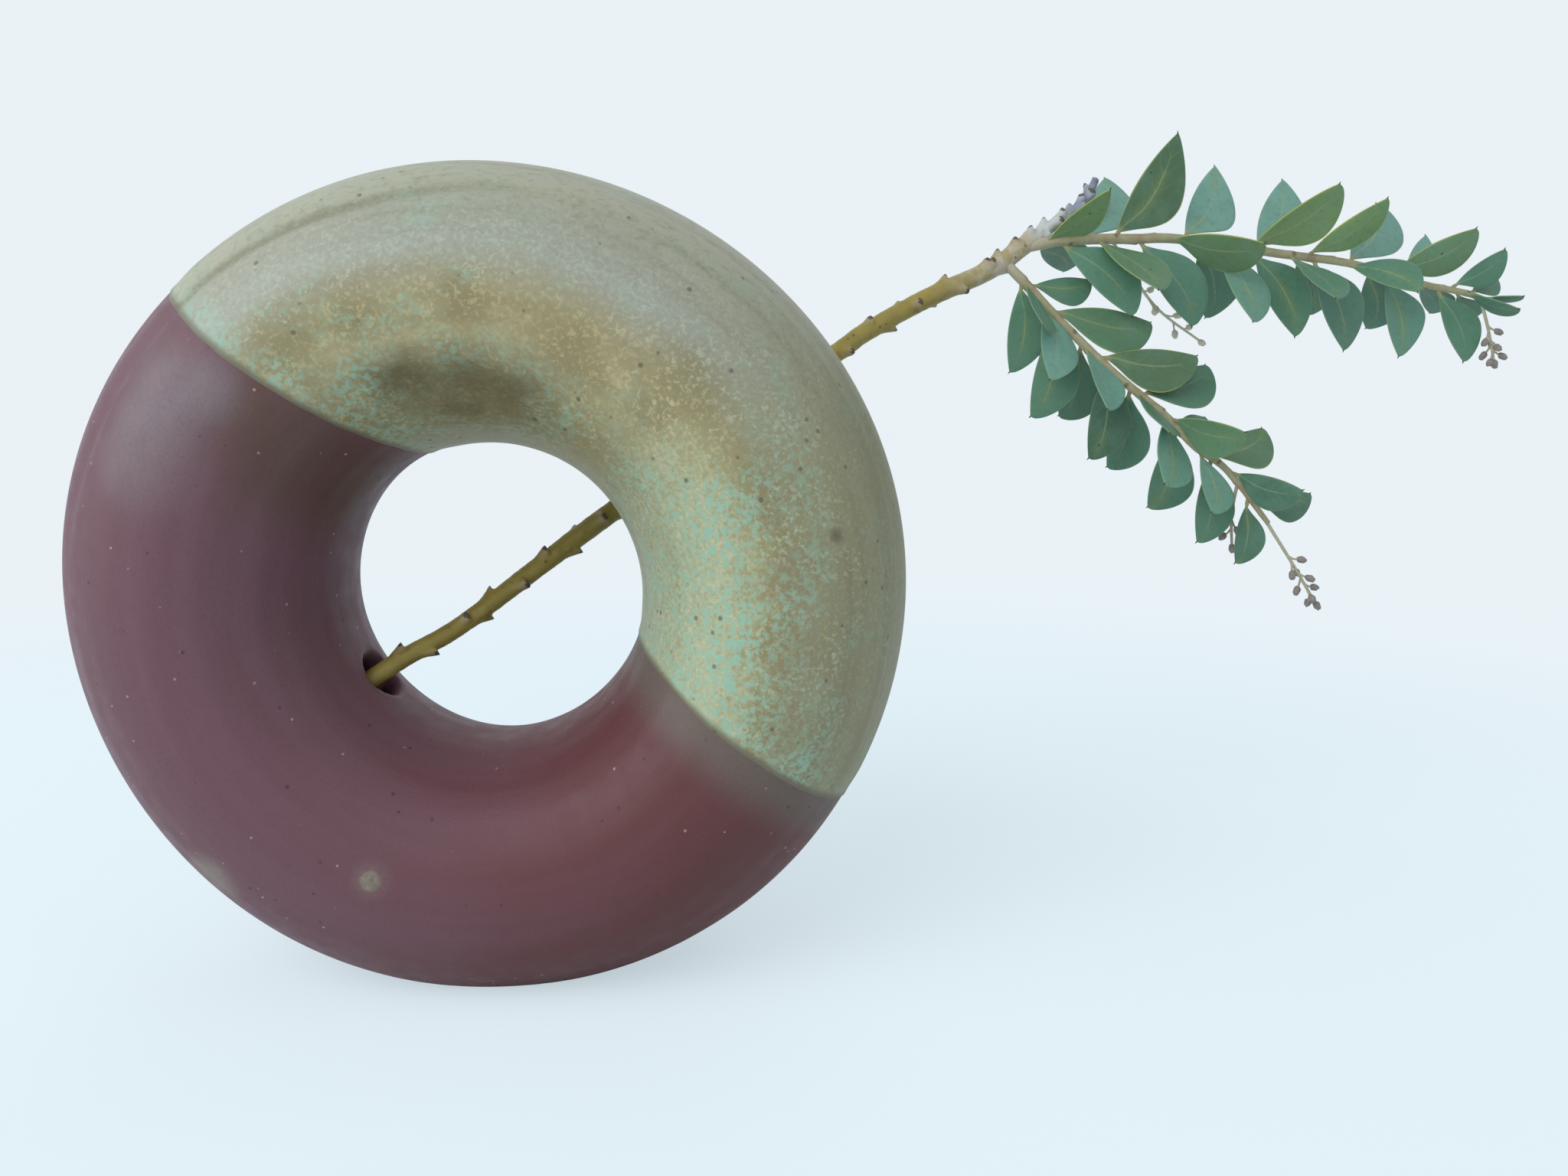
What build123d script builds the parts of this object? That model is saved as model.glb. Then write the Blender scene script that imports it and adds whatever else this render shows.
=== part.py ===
from build123d import *
import math
import os

# A ring-shaped (donut) stoneware vase with one small stem hole, holding a leafy sprig.
# The origin is the middle of the flat foot on the table; +Z is up and the ring's axis is Y,
# so -Y is the front. All sizes are in millimetres, all angles in degrees.

# Driving dimensions of the vase
ring_outer_diameter = 150.0
tube_height = 47.7
tube_depth = 56.4
wall = 5.0
foot_flattening = 4.0
stem_hole_diameter = 9.2
stem_hole_angle = -144.0
glaze_thickness = 0.5
glaze_line_offset = 9.5
glaze_line_tilt = 51.3

# Driving dimensions of the sprig
stem_hole_crossing = (-22.3, 0.0, 55.1)
stem_lean = (0.755, 0.399, 0.520)
stem_inside_length = 39.5
stem_free_length = 115.0
stem_radius_cut_end = 1.7
stem_radius_at_hole = 1.75
stem_radius_above_ring = 2.05
stem_radius_at_fork = 2.15
dead_tip_radius = 0.8
scar_spacing = 4.2
scar_turn = 137.5
scar_base_radius = 0.95
scar_top_radius = 0.5
scar_height = 0.9
scar_sink = 0.5
scar_end_gap = 2.0
scar_free_length = 5.0
leaf_thickness = 0.5
leaf_neck_length = 2.2
leaf_neck_width = 0.9
leaf_straight_bulge = (0.5, -0.075)
leaf_rounded_margin = [
    (1.0, 0.075),
    (0.955, 0.175),
    (0.86, 0.29),
    (0.72, 0.38),
    (0.55, 0.42),
    (0.38, 0.375),
    (0.23, 0.265),
    (0.10, 0.12),
]
bud_radius = 0.95
bud_stalk_radius = 0.4
bud_branch_radius = 0.28
bud_branch_length = 3.0
first_bud_share = 0.45
upper_spray_buds = 8
lower_spray_buds = 9
side_spray_buds = 4
back_spray_buds = 7

# Values worked out from the driving dimensions
ring_radius = (ring_outer_diameter - tube_height) / 2
ring_centre = ring_outer_diameter / 2 - foot_flattening
stem_direction = Vector(*stem_lean).normalized()
stem_crossing = Vector(*stem_hole_crossing)
stem_cut_end = stem_crossing - stem_direction * stem_inside_length
stem_above_ring = stem_crossing + stem_direction * stem_free_length

# Routes of the stem, its dead tip and the two shoots, as centre points and radii
stem_route = [
    (stem_cut_end, stem_radius_cut_end),
    (stem_crossing, stem_radius_at_hole),
    (Vector(-9.5, 6.7, 62.3), stem_radius_at_hole),
    (Vector(5, 15, 73), 1.9),
    (Vector(20, 22.5, 84), stem_radius_above_ring),
    (stem_above_ring, stem_radius_above_ring),
    (Vector(71, 49.5, 119.5), stem_radius_above_ring),
    (Vector(85.5, 56.5, 127.5), stem_radius_at_fork),
    (Vector(101, 62.5, 134.5), stem_radius_at_fork),
    (Vector(109, 65.5, 140), stem_radius_at_fork),
]
dead_tip_route = [
    (Vector(109, 65.5, 140), stem_radius_at_fork),
    (Vector(115.4, 67.9, 144.4), 1.5),
    (Vector(121.1, 69.4, 148), 1.25),
    (Vector(124.8, 71, 151.2), 1.05),
    (Vector(127.2, 72.3, 156.2), dead_tip_radius),
]
upper_shoot_route = [
    (Vector(108, 65, 139.5), 1.3),
    (Vector(119, 66, 141.5), 1.25),
    (Vector(135, 68, 142), 1.15),
    (Vector(147, 69, 142), 1.1),
    (Vector(170, 71, 139), 1.0),
    (Vector(189, 72, 136.5), 0.9),
    (Vector(205, 72, 132), 0.8),
    (Vector(217, 72, 129.5), 0.7),
    (Vector(225, 72, 126.5), 0.55),
]
lower_shoot_route = [
    (Vector(104.5, 63.5, 136.5), 1.2),
    (Vector(110.5, 62, 130), 1.1),
    (Vector(118, 59, 121.5), 1.0),
    (Vector(128.5, 56, 111), 0.95),
    (Vector(139.5, 53, 101.5), 0.9),
    (Vector(146, 51, 94.5), 0.85),
    (Vector(153, 49, 89), 0.75),
    (Vector(161.5, 46, 77.5), 0.55),
]

# Leaves: distance along the shoot, turn round it from its upper side towards the front,
# lean away from the shoot, length, and twist of the blade about its own middle
upper_leaves = [
    (6, 50, 45, 19, 0),
    (16, -45, 64, 26, 0),
    (10, 165, 58, 24, 0),
    (5, -110, 60, 22, 0),
    (19, 130, 72, 23, 0),
    (23, 5, 59, 27, 0),
    (29, 175, 57, 24, 0),
    (36, 100, 48, 23, -60),
    (40, -30, 68, 26, 0),
    (44, -135, 63, 24, 0),
    (48, 147, 72, 22, 0),
    (57, 178, 54, 23, 0),
    (58, -36, 68, 26, 0),
    (56, 33, 53, 23, 0),
    (66, 125, 75, 20, 0),
    (68, -128, 56, 22, 0),
    (72, 177, 62, 23, 0),
    (70, 45, 60, 21, 0),
    (80, 115, 55, 19, 40),
    (81, -36, 64, 25, 0),
    (86, -126, 60, 22, 0),
    (90, 178, 62, 20, 0),
    (91, 25, 50, 20, 0),
    (95, -42, 70, 19, 0),
    (99, -105, 52, 17, 0),
    (103, 178, 56, 19, 0),
]
upper_tip_leaves = [
    (106, 5, 50, 15, 0),
    (108, -115, 52, 14, 0),
    (109, 106, 52, 14, -40),
    (111, -40, 58, 13, 0),
    (114, 70, 48, 9, 0),
]
lower_leaves = [
    (6, 175, 50, 21, 0),
    (7, 103, 55, 19, 0),
    (8, -40, 62, 17, 0),
    (11, -122, 68, 21, 0),
    (14, 124, 46, 21, 0),
    (16, -48, 53, 26, 0),
    (18, 172, 57, 23, 0),
    (26, -138, 70, 22, 0),
    (27, 118, 46, 20, 0),
    (31, -22, 48, 23, 0),
    (34, 177, 56, 21, 0),
    (41, -148, 68, 22, 0),
    (42, 102, 49, 18, 0),
    (44, -50, 74, 24, 0),
    (51, 125, 60, 21, 0),
    (52, 47, 47, 19, -20),
    (54, -68, 78, 18, 0),
    (55, -148, 65, 22, 0),
    (62, 124, 58, 18, 0),
    (65, 177, 60, 19, 0),
    (65, -53, 75, 22, 0),
]
lower_tip_leaves = [
    (70, 40, 47, 17, -20),
    (73, -75, 72, 17, 0),
    (77, 180, 46, 15, 0),
    (77, -45, 62, 17, 0),
]

# Bud sprays: the stalk's points; the buds sit on short branches along it
upper_spray_stalk = [Vector(220, 72, 128.4), Vector(222.5, 72, 121), Vector(224, 71, 113)]
lower_spray_stalk = [Vector(160.6, 46.3, 78.7), Vector(167.5, 45.5, 68), Vector(173, 45, 59)]
side_spray_stalk = [Vector(155, 48.3, 86.3), Vector(155.5, 52, 79), Vector(156.5, 53.5, 71)]
back_spray_stalk = [Vector(130, 67.3, 141.8), Vector(144, 79, 128), Vector(158, 84, 119)]


def along(route, distance):
    """Point and direction at a distance along a route's centre line."""
    left = distance
    for (start, _), (end, _) in zip(route, route[1:]):
        span = end - start
        if left <= span.length:
            break
        left -= span.length
    direction = span.normalized()
    return start + direction * left, direction


def route_length(route):
    return sum((end - start).length for (start, _), (end, _) in zip(route, route[1:]))


def around(direction, turn):
    """Unit vector across a direction, turned from its upper side towards the front."""
    upper_side = (Vector(0, 0, 1) - direction * direction.Z).normalized()
    front_side = direction.cross(upper_side)
    return upper_side * math.cos(math.radians(turn)) + front_side * math.sin(math.radians(turn))


def round_bar(route):
    """A round, tapering bar through the centre points and radii of a route."""
    points = [point for point, _ in route]
    sections = []
    for index, (point, radius) in enumerate(route):
        before = points[max(index - 1, 0)]
        after = points[min(index + 1, len(points) - 1)]
        sections.append(Plane(point, z_dir=(after - before).normalized()) * Circle(radius))
    return loft(sections, ruled=True)


def ring_tube(inset):
    """The full ring with its tube drawn in by an inset from the outside of the clay."""
    section = Pos(ring_radius, 0) * Ellipse(tube_height / 2 - inset, tube_depth / 2 - inset)
    return Pos(0, 0, ring_centre) * revolve(section, Axis.Y)


def above(height):
    """A block that holds everything of the ring above a height."""
    size = 2 * ring_outer_diameter
    return Pos(0, 0, height + size / 2) * Box(size, size, size)


def ring_body():
    """The hollow, fired ring with its flat foot and the small hole for the stem."""
    clay = ring_tube(0) & above(0)
    hollow = ring_tube(wall) & above(wall)
    angle = math.radians(stem_hole_angle)
    hole_direction = Vector(math.cos(angle), 0, math.sin(angle))
    hole_start = Vector(0, 0, ring_centre) + hole_direction * (ring_radius - tube_height / 2 - wall)
    drill = Cylinder(stem_hole_diameter / 2, 3 * wall, align=(Align.CENTER, Align.CENTER, Align.MIN))
    return clay - hollow - Plane(hole_start, z_dir=hole_direction) * drill


def glaze_coat():
    """The poured glaze: a thin skin over the upper right side of the ring."""
    skin = ring_tube(-glaze_thickness) - ring_tube(0)
    tilt = math.radians(glaze_line_tilt)
    glaze_normal = Vector(math.cos(tilt), 0, math.sin(tilt))
    line_plane = Plane(Vector(0, 0, ring_centre) + glaze_normal * glaze_line_offset, z_dir=glaze_normal)
    size = 2 * ring_outer_diameter
    glazed_side = line_plane * Box(size, size, size, align=(Align.CENTER, Align.CENTER, Align.MIN))
    return skin & glazed_side


def radius_at(route, distance):
    """Radius of a round bar at a distance along its route."""
    left = distance
    for (start, first_radius), (end, last_radius) in zip(route, route[1:]):
        span = (end - start).length
        if left <= span:
            break
        left -= span
    return first_radius + (last_radius - first_radius) * left / span


def leaf_scars(route, first):
    """Small raised leaf scars in a spiral along a bar, from a distance to near its end."""
    scars = []
    count = int((route_length(route) - scar_end_gap - first) / scar_spacing) + 1
    for index in range(count):
        distance = first + index * scar_spacing
        point, direction = along(route, distance)
        outward = around(direction, index * scar_turn)
        foot = point + outward * (radius_at(route, distance) - scar_sink)
        cone = Cone(scar_base_radius, scar_top_radius, scar_height + scar_sink,
                    align=(Align.CENTER, Align.CENTER, Align.MIN))
        scars.append(Plane(foot, z_dir=outward) * cone)
    return scars


def leaf_plane(route, distance, turn, lean, twist):
    """Plane of a blade: X from the shoot to the tip, Y towards the rounded margin."""
    base, direction = along(route, distance)
    outward = around(direction, turn)
    tipward = direction * math.cos(math.radians(lean)) + outward * math.sin(math.radians(lean))
    rounded = (direction - tipward * direction.dot(tipward)).normalized()
    normal = tipward.cross(rounded)
    normal = normal * math.cos(math.radians(twist)) - rounded * math.sin(math.radians(twist))
    return Plane(base, x_dir=tipward, z_dir=normal)


def leaf(route, shoot, distance, turn, lean, length, twist):
    """A flat knife-shaped leaf: a nearly straight margin, a rounded margin and a short neck."""
    blade = length - leaf_neck_length
    half_neck = leaf_neck_width / 2
    tip = (length, 0)

    def on_blade(along_share, across_share):
        return (leaf_neck_length + along_share * blade, across_share * blade)

    outline = Curve() + [
        Line((0, -half_neck), (leaf_neck_length, -half_neck)),
        ThreePointArc((leaf_neck_length, -half_neck), on_blade(*leaf_straight_bulge), tip),
        Spline(tip, *[on_blade(*place) for place in leaf_rounded_margin], (leaf_neck_length, half_neck)),
        Line((leaf_neck_length, half_neck), (0, half_neck)),
        Line((0, half_neck), (0, -half_neck)),
    ]
    flat = leaf_plane(route, distance, turn, lean, twist) * make_face(outline)
    return extrude(flat, amount=leaf_thickness / 2, both=True) - shoot


def bud_spray(stalk_points, bud_count):
    """A thin stalk with round buds on short branches that turn round it."""
    route = [(point, bud_stalk_radius) for point in stalk_points]
    length = route_length(route)
    pieces = [Pos(*stalk_points[-1]) * Sphere(bud_radius)]
    for index in range(bud_count - 1):
        share = first_bud_share + (1 - first_bud_share) * index / bud_count
        point, direction = along(route, share * length)
        branch = (around(direction, index * scar_turn) + direction).normalized() * bud_branch_length
        pieces.append(round_bar([(point, bud_branch_radius), (point + branch, bud_branch_radius)]))
        pieces.append(Pos(*(point + branch)) * Sphere(bud_radius))
    return round_bar(route) + pieces


def export(name, shape):
    shape.label = name
    export_step(shape, os.path.join("parts", name + ".step"))


os.makedirs("parts", exist_ok=True)
export("ring_body", ring_body())
export("glaze_coat", glaze_coat())

main_stem = round_bar(stem_route) + leaf_scars(stem_route, stem_inside_length + scar_free_length)
export("main_stem", main_stem)
dead_tip = round_bar(dead_tip_route) + leaf_scars(dead_tip_route, scar_free_length) - main_stem
export("dead_tip", dead_tip)
upper_shoot = round_bar(upper_shoot_route)
export("upper_shoot", upper_shoot - main_stem - dead_tip)
lower_shoot = round_bar(lower_shoot_route)
export("lower_shoot", lower_shoot - main_stem)

for index, row in enumerate(upper_leaves, start=1):
    export(f"upper_leaf_{index:02d}", leaf(upper_shoot_route, upper_shoot, *row))
for index, row in enumerate(lower_leaves, start=1):
    export(f"lower_leaf_{index:02d}", leaf(lower_shoot_route, lower_shoot, *row))
export("upper_tip_leaves", Compound([leaf(upper_shoot_route, upper_shoot, *row) for row in upper_tip_leaves]))
export("lower_tip_leaves", Compound([leaf(lower_shoot_route, lower_shoot, *row) for row in lower_tip_leaves]))

export("upper_bud_spray", bud_spray(upper_spray_stalk, upper_spray_buds) - upper_shoot)
export("lower_bud_spray", bud_spray(lower_spray_stalk, lower_spray_buds) - lower_shoot)
export("side_bud_spray", bud_spray(side_spray_stalk, side_spray_buds) - lower_shoot)
export("back_bud_spray", bud_spray(back_spray_stalk, back_spray_buds) - upper_shoot)
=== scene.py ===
import math
from functools import partial, reduce

import bmesh
import bpy
import numpy as np
from mathutils import Matrix, Vector


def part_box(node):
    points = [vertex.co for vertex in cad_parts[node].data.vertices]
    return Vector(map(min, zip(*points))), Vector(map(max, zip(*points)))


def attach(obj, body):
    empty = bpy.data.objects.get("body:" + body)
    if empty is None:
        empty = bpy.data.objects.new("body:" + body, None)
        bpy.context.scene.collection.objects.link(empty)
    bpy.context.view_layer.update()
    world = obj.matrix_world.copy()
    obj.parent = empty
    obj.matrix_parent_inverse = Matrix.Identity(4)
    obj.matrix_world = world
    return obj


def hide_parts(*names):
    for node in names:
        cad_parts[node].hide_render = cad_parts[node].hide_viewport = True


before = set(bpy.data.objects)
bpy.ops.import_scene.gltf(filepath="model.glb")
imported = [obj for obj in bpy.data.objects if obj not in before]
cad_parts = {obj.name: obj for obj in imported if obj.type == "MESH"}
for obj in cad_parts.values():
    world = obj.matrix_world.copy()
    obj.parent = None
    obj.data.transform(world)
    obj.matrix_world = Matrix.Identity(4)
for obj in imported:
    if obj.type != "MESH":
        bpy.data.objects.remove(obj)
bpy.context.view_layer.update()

# Sizes are in metres, angles in radians. The ring's axis is Y and -Y is the front.
MM = 0.001
DEGREE = math.pi / 180
SEED = 11

# The ring, from the frame's box and the tube's half width
ring_low, ring_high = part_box("ring_body")
TUBE_RADIAL = 23.85 * MM
TUBE_DEEP = (ring_high.y - ring_low.y) / 2
RING_RADIUS = (ring_high.x - ring_low.x) / 2 - TUBE_RADIAL
RING_CENTRE = ring_high.z - RING_RADIUS - TUBE_RADIAL
WALL = 5 * MM
RING_STEPS = 480
TUBE_STEPS = 200
TUBE_ANGLES = np.linspace(-math.pi, math.pi, TUBE_STEPS, endpoint=False) + math.pi / TUBE_STEPS
FOOT_SOFTNESS = 0.3 * MM
HOLE_ANGLE = -144 * DEGREE
HOLE_RADIUS = 4.6 * MM
HOLE_RIM = 1.7 * MM
# Throwing groove: depth and bank in millimetres, then widths and the bank's offset in tube radians
GROOVE_DEPTH = 0.42
GROOVE_BANK = 0.2
GROOVE_WIDTH = 0.055
BANK_WIDTH = 0.07
BANK_OFFSET = 0.14
GROOVE_LEAST = 0.12
# Finger dents: ring angle, tube angle, their reach in degrees, and depth in millimetres
FINGER_DENTS = [
    (98, -127, 15, 10, 0.85), (82, -129, 10, 9, 0.55), (96, -108, 20, 7, -0.28), (118, -95, 8, 8, 0.35),
    (47, -96, 9, 9, 0.25), (64, -108, 8, 7, -0.18),
]
KILN_SPOT = (-16.9, -28, 25.4)
KILN_SPOT_RADIUS = 1.5 * MM
KILN_SPOT_HEIGHT = 0.35 * MM

# The glaze and its dip line
GLAZE_THICKNESS = 0.42 * MM
GLAZE_BEAD = 0.1 * MM
BEAD_PLACE = 1.3 * MM
BEAD_WIDTH = 0.8 * MM
GLAZE_UNDER = 0.15 * MM
GLAZE_SINK = -0.2 * MM
GLAZE_TILT = 51.3 * DEGREE
GLAZE_OFFSET = 9.5 * MM
GLAZE_STEPS = 420

# Routes of the stem and its shoots: centre points and radii in millimetres
STEM_ROUTE = [
    (-52.1, -15.8, 34.6, 1.7), (-22.3, 0, 55.1, 1.75), (-9.5, 6.7, 62.3, 1.75), (5, 15, 73, 1.9),
    (20, 22.5, 84, 2.05), (64.5, 45.9, 114.9, 2.05), (71, 49.5, 119.5, 2.05), (85.5, 56.5, 127.5, 2.15),
    (101, 62.5, 134.5, 2.15), (109, 65.5, 140, 2.15),
]
DEAD_TIP_ROUTE = [
    (109, 65.5, 140, 2.15), (115.4, 67.9, 144.4, 1.5), (121.1, 69.4, 148, 1.25), (124.8, 71, 151.2, 1.05),
    (127.2, 72.3, 156.2, 0.8),
]
UPPER_SHOOT_ROUTE = [
    (108, 65, 139.5, 1.3), (119, 66, 141.5, 1.25), (135, 68, 142, 1.15), (147, 69, 142, 1.1),
    (170, 71, 139, 1.0), (189, 72, 136.5, 0.9), (205, 72, 132, 0.8), (217, 72, 129.5, 0.7),
    (225, 72, 126.5, 0.55),
]
LOWER_SHOOT_ROUTE = [
    (104.5, 63.5, 136.5, 1.2), (110.5, 62, 130, 1.1), (118, 59, 121.5, 1.0), (128.5, 56, 111, 0.95),
    (139.5, 53, 101.5, 0.9), (146, 51, 94.5, 0.85), (153, 49, 89, 0.75), (161.5, 46, 77.5, 0.55),
]
# Stalks of the bud sprays, and how many buds each has
BUD_SPRAYS = {
    "upper_bud_spray": ([(220, 72, 128.4), (222.5, 72, 121), (224, 71, 113)], 8),
    "lower_bud_spray": ([(160.6, 46.3, 78.7), (167.5, 45.5, 68), (173, 45, 59)], 9),
    "side_bud_spray": ([(155, 48.3, 86.3), (155.5, 52, 79), (156.5, 53.5, 71)], 4),
    "back_bud_spray": ([(130, 67.3, 141.8), (144, 79, 128), (158, 84, 119)], 7),
}
# Cups left by old leaves: distance back from the fork or along the dead tip, and turn from the upper side
FORK_SCARS = [(1.5, 20), (6.5, -5), (11, 30)]
DEAD_TIP_SCARS = [
    (3.5, 5), (6.5, 140), (8, -20), (10.5, 80), (12.5, 25), (14, -150), (15.5, -35), (17.5, 100),
    (19, 10), (20.5, -110), (21.5, 60), (23, -40),
]
FIRST_SCAR = 44.5 * MM
SCAR_SPACING = 4.2 * MM
SCAR_TURN = 137.5 * DEGREE
# Radii of a spray's stalk and branches in millimetres
STALK_RADIUS = 0.4
BRANCH_RADII = [0.3, 0.24, 0.22, 0.25]
BUD_RADIUS = 0.78 * MM
BUD_BRANCH = 3.0 * MM
BUD_STRETCH = 1.45
BUD_RINGS = 9
BUD_SEGMENTS = 12
BUD_KNOBS = 0.16
BUD_SAG = 0.25 * MM
FIRST_BUD = 0.45
# The spray at the back is painted pale: painted light that lifts it out of the shade behind the leaves
PAINTED_LIGHT_SPRAY = "back_bud_spray"

# The camera that took the picture, fitted to the ring's outlines
CAMERA_PLACE = Vector((51.5, -221.9, 104.1)) * MM
CAMERA_YAW = 0.4 * DEGREE
CAMERA_PITCH = -8.6 * DEGREE
CAMERA_ROLL = -0.3 * DEGREE
CAMERA_LENS = 27.74

# Colours of the stage and the strength of the sky's light
BACKGROUND = (0.82, 0.885, 0.925)
FLOOR_COLOUR = (0.86, 0.95, 1.0)
SKY_COLOUR = (0.9, 0.95, 1.0)
SKY_STRENGTH = 0.42
FLOOR_GLOW = 0.62
FLOOR_NEAR = (0.8, 0.925, 0.99)

random_numbers = np.random.default_rng(SEED)


# Small helpers

def smoothstep(low, high, value):
    share = np.clip((value - low) / (high - low), 0, 1)
    return share * share * (3 - 2 * share)


def turned(first, second, angle):
    """A direction turned from the first towards the second."""
    return first * math.cos(angle) + second * math.sin(angle)


def new_object(name, data):
    thing = bpy.data.objects.new(name, data)
    bpy.context.scene.collection.objects.link(thing)
    return thing


def make_piece(name, points, faces, material, body, nodes, values):
    """A closed mesh piece with per-point values, riding on a body in place of CAD nodes."""
    mesh = bpy.data.meshes.new(name)
    mesh.from_pydata(np.asarray(points).tolist(), [], [list(face) for face in faces])
    for key, data in values.items():
        attribute = mesh.attributes.new(key, "FLOAT", "POINT")
        attribute.data.foreach_set("value", np.asarray(data, np.float32))
    form = bmesh.new()
    form.from_mesh(mesh)
    bmesh.ops.recalc_face_normals(form, faces=form.faces)
    form.to_mesh(mesh)
    form.free()
    mesh.polygons.foreach_set("use_smooth", [True] * len(mesh.polygons))
    piece = new_object(name, mesh)
    mesh.materials.append(material)
    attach(piece, body)
    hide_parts(*nodes)


def grid_faces(rows, columns, first=0, wrap_rows=False):
    """Quads of a grid of points stored row by row, whose columns join round."""
    row = np.arange(rows if wrap_rows else rows - 1)
    row, column = np.meshgrid(row, np.arange(columns), indexing="ij")
    next_row = (row + 1) % rows
    next_column = (column + 1) % columns
    corners = [row * columns + column, row * columns + next_column,
               next_row * columns + next_column, next_row * columns + column]
    return np.stack(corners, -1).reshape(-1, 4) + first


def closed_tube(rows, columns, first=0):
    """Faces of a tube: a grid that joins round, and a cap at each end."""
    faces = [tuple(face) for face in grid_faces(rows, columns, first)]
    for cap in (first, first + (rows - 1) * columns):
        faces.append(tuple(range(cap, cap + columns)))
    return faces


# The ring

def groove_angle(ring):
    """Tube angle of the throwing groove near the rim; it moves to the front at the upper left."""
    return -44 * DEGREE - 6 * DEGREE * smoothstep(80 * DEGREE, 105 * DEGREE, np.abs(ring))


def hand_lift(ring, tube):
    """Unevenness of the thrown and joined ring: a groove, soft rings, slow waves and finger dents."""
    off_groove = tube - groove_angle(ring)
    groove = (GROOVE_BANK * np.exp(-((off_groove - BANK_OFFSET) / BANK_WIDTH) ** 2)
              - GROOVE_DEPTH * np.exp(-(off_groove / GROOVE_WIDTH) ** 2))
    upper = smoothstep(55 * DEGREE, 100 * DEGREE, np.abs(ring)) * smoothstep(0.05, 0.4, np.sin(ring))
    groove *= GROOVE_LEAST + (1 - GROOVE_LEAST) * upper
    rings = 0.03 * np.sin(19 * tube + 0.5 * np.sin(ring))
    rings += 0.022 * np.sin(33 * tube + 1.1 * np.sin(2 * ring + 1))
    waves = 0.16 * np.sin(3 * ring + 0.8) * np.cos(tube) + 0.1 * np.sin(5 * ring + np.sin(tube))
    lift = groove + rings + waves
    for dent_ring, dent_tube, ring_reach, tube_reach, depth in FINGER_DENTS:
        off_ring = (ring - dent_ring * DEGREE) / (ring_reach * DEGREE)
        off_tube = (tube - dent_tube * DEGREE) / (tube_reach * DEGREE)
        lift -= depth * np.exp(-off_ring ** 2 - off_tube ** 2)
    return lift * MM


def ring_points(ring, tube, lift):
    """Points at ring and tube angles, lifted off the clay; the foot is pressed flat at the floor."""
    reach = RING_RADIUS + (TUBE_RADIAL + lift) * np.cos(tube)
    x = reach * np.cos(ring)
    y = (TUBE_DEEP + lift) * np.sin(tube)
    z = RING_CENTRE + reach * np.sin(ring)
    z = (z + np.sqrt(z * z + FOOT_SOFTNESS ** 2)) / 2
    return np.stack([x, y, z], -1)


def line_distance(points):
    """Signed distance from the dip line's plane, positive on the glazed side."""
    height = points[:, 2] - RING_CENTRE
    return points[:, 0] * math.cos(GLAZE_TILT) + height * math.sin(GLAZE_TILT) - GLAZE_OFFSET


def ring_values(ring, tube):
    """Values that have no seam round the ring: they place zones and concentric streaks."""
    return {
        "across": np.cos(tube),
        "deep": np.sin(tube),
        "sideways": np.cos(ring),
        "upright": np.sin(ring),
        "zone": np.abs(tube) / math.pi,
        "groove": np.abs(tube - groove_angle(ring)),
        "right": 1 - smoothstep(15 * DEGREE, 60 * DEGREE, ring),
    }


def kiln_spot(points):
    """Lift of the small kiln spot on the clay: a low ring round a dimple."""
    away = np.linalg.norm(points - np.array(KILN_SPOT) * MM, axis=1) / KILN_SPOT_RADIUS
    return KILN_SPOT_HEIGHT * (np.exp(-away ** 4) - 0.6 * np.exp(-(away / 0.5) ** 2))


def build_ring(material):
    ring = np.linspace(-math.pi, math.pi, RING_STEPS, endpoint=False)
    ring, tube = (values.ravel() for values in np.meshgrid(ring, TUBE_ANGLES, indexing="ij"))
    lift = hand_lift(ring, tube) + kiln_spot(ring_points(ring, tube, 0))
    outside = ring_points(ring, tube, lift)
    inside = ring_points(ring, tube, -WALL)
    inside[:, 2] = np.maximum(inside[:, 2], WALL)
    faces = grid_faces(RING_STEPS, TUBE_STEPS, wrap_rows=True)

    axis = np.array([math.cos(HOLE_ANGLE), 0, math.sin(HOLE_ANGLE)])
    middle = np.array([0, 0, RING_CENTRE])

    def from_axis(points):
        depth = (points - middle) @ axis
        across = points - middle - np.outer(depth, axis)
        return depth, across, np.linalg.norm(across, axis=1)

    depth, across, away = from_axis(outside)
    near_hole = (depth > 0) & (np.cos(tube) < 0)
    away = np.where(near_hole, away, 1.0)
    kept = away[faces].mean(1) >= HOLE_RADIUS
    numbers = np.arange(len(outside))
    edge = np.isin(numbers, faces[kept]) & np.isin(numbers, faces[~kept])
    scale = (HOLE_RADIUS / away[edge])[:, None]
    outside[edge] += across[edge] * (scale - 1)
    away[edge] = HOLE_RADIUS
    turn_in = np.clip((HOLE_RADIUS + HOLE_RIM - away) / HOLE_RIM, 0, 1)
    outside += axis * (HOLE_RIM * (1 - np.sqrt(1 - turn_in ** 2)))[:, None]
    inner_across, inner_away = from_axis(inside)[1:]
    scale = (HOLE_RADIUS / inner_away[edge])[:, None]
    inside[edge] += inner_across[edge] * (scale - 1)

    total = len(outside)
    rims = []
    for face in faces[~kept]:
        for start, end in zip(face, np.roll(face, -1)):
            if edge[start] and edge[end]:
                rims.append((start, end, end + total, start + total))
    sides = [tuple(sorted(rim[:2])) for rim in rims]
    rims = [rim for rim, side in zip(rims, sides) if sides.count(side) == 1]
    shown = np.concatenate([faces[kept], faces[kept] + total, np.array(rims)])
    points = np.concatenate([outside, inside])
    used = np.unique(shown)
    renumber = np.zeros(len(points), int)
    renumber[used] = np.arange(len(used))
    values = ring_values(np.tile(ring, 2)[used], np.tile(tube, 2)[used])
    values["line"] = line_distance(points)[used]
    make_piece("clay_ring", points[used], renumber[shown], material, "vase", ["ring_body"],
               values)


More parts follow.
